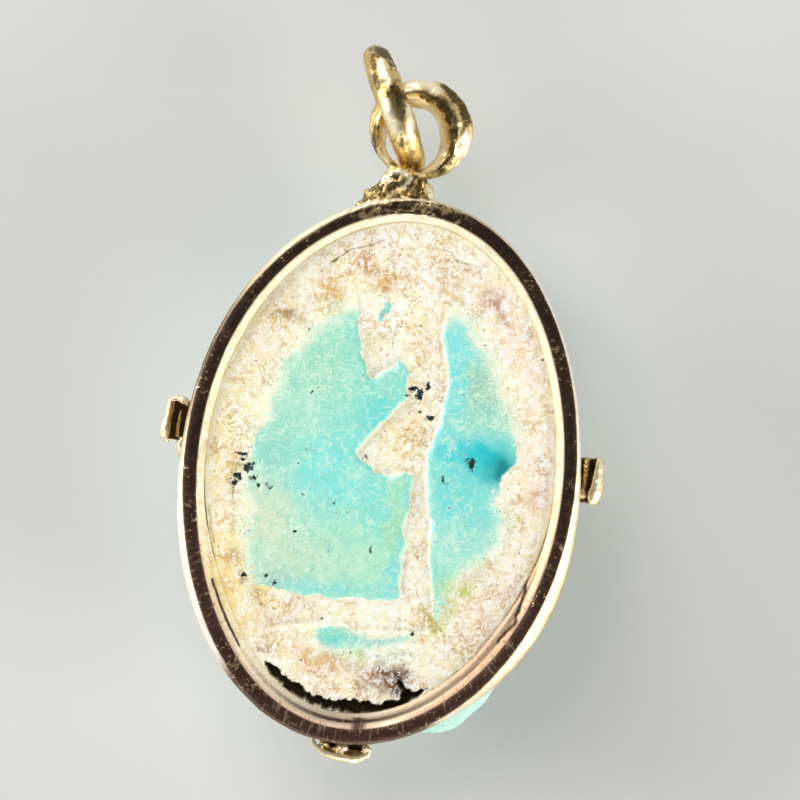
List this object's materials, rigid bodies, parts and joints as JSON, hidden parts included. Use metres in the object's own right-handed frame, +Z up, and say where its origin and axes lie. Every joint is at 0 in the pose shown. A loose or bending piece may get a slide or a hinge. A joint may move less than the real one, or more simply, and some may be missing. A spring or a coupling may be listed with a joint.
{
  "type": "scarab pendant",
  "caption": "Oval carved scarab in a gold band with three claws, a fixed loop and a jump ring, lying on its domed back with the worn seal face up.",
  "frame": {"origin": "in the flat spot under the beetle's back, on the axis of the oval band", "axes": "+Z up out of the seal face, +Y along the oval toward the hanging loop, +X to the right seen from above"},
  "size_m": [0.0149, 0.0238, 0.0074],
  "materials": {
    "glazed_stone": "worn turquoise glaze on cream stone",
    "gold_band": "polished gold with fine scratches",
    "gold_loop": "polished gold with solder marks"
  },
  "bodies": {
    "root": {"scarab": "glazed_stone", "bezel_frame": "gold_band", "claw_left": "gold_band", "claw_right": "gold_band", "claw_bottom": "gold_band", "hanging_loop": "gold_loop", "jump_ring": "gold_loop"}
  },
  "joints": []
}
